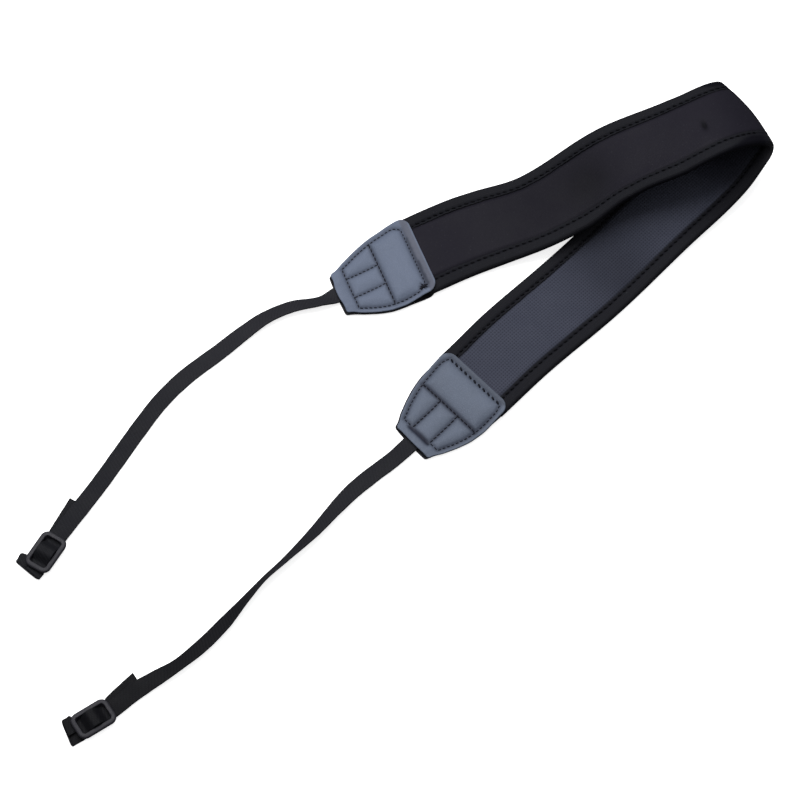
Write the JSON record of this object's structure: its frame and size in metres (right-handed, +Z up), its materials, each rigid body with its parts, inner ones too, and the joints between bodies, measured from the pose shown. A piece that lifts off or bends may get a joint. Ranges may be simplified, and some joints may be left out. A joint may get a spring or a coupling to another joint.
{
  "type": "binocular neck strap",
  "caption": "Padded neck strap folded over in a loose loop, with a mesh lining, bound edges, stitched end tabs and narrow webbing straps looped through sliders.",
  "frame": {"origin": "on the surface that the strap lies on, under the middle of its box", "axes": "+X along the middle line of the fold towards its nose, +Y along the fold towards the upper leg, +Z up"},
  "size_m": [0.5156, 0.1694, 0.0484],
  "materials": {
    "neoprene": "smooth knitted face on foam rubber",
    "mesh": "matt open mesh",
    "binding": "matt folded tape",
    "leatherette": "fine grained, satin",
    "webbing": "woven, satin",
    "slider_plastic": "moulded, satin"
  },
  "bodies": {
    "root": {"neck_pad": "neoprene", "mesh_lining": "mesh", "binding_upper": "binding", "binding_lower": "binding", "tab_left_outer": "leatherette", "tab_left_inner": "leatherette", "tab_right_outer": "leatherette", "tab_right_inner": "leatherette", "strap_left": "webbing", "strap_right": "webbing", "slider_left": "slider_plastic", "slider_right": "slider_plastic"}
  },
  "joints": []
}
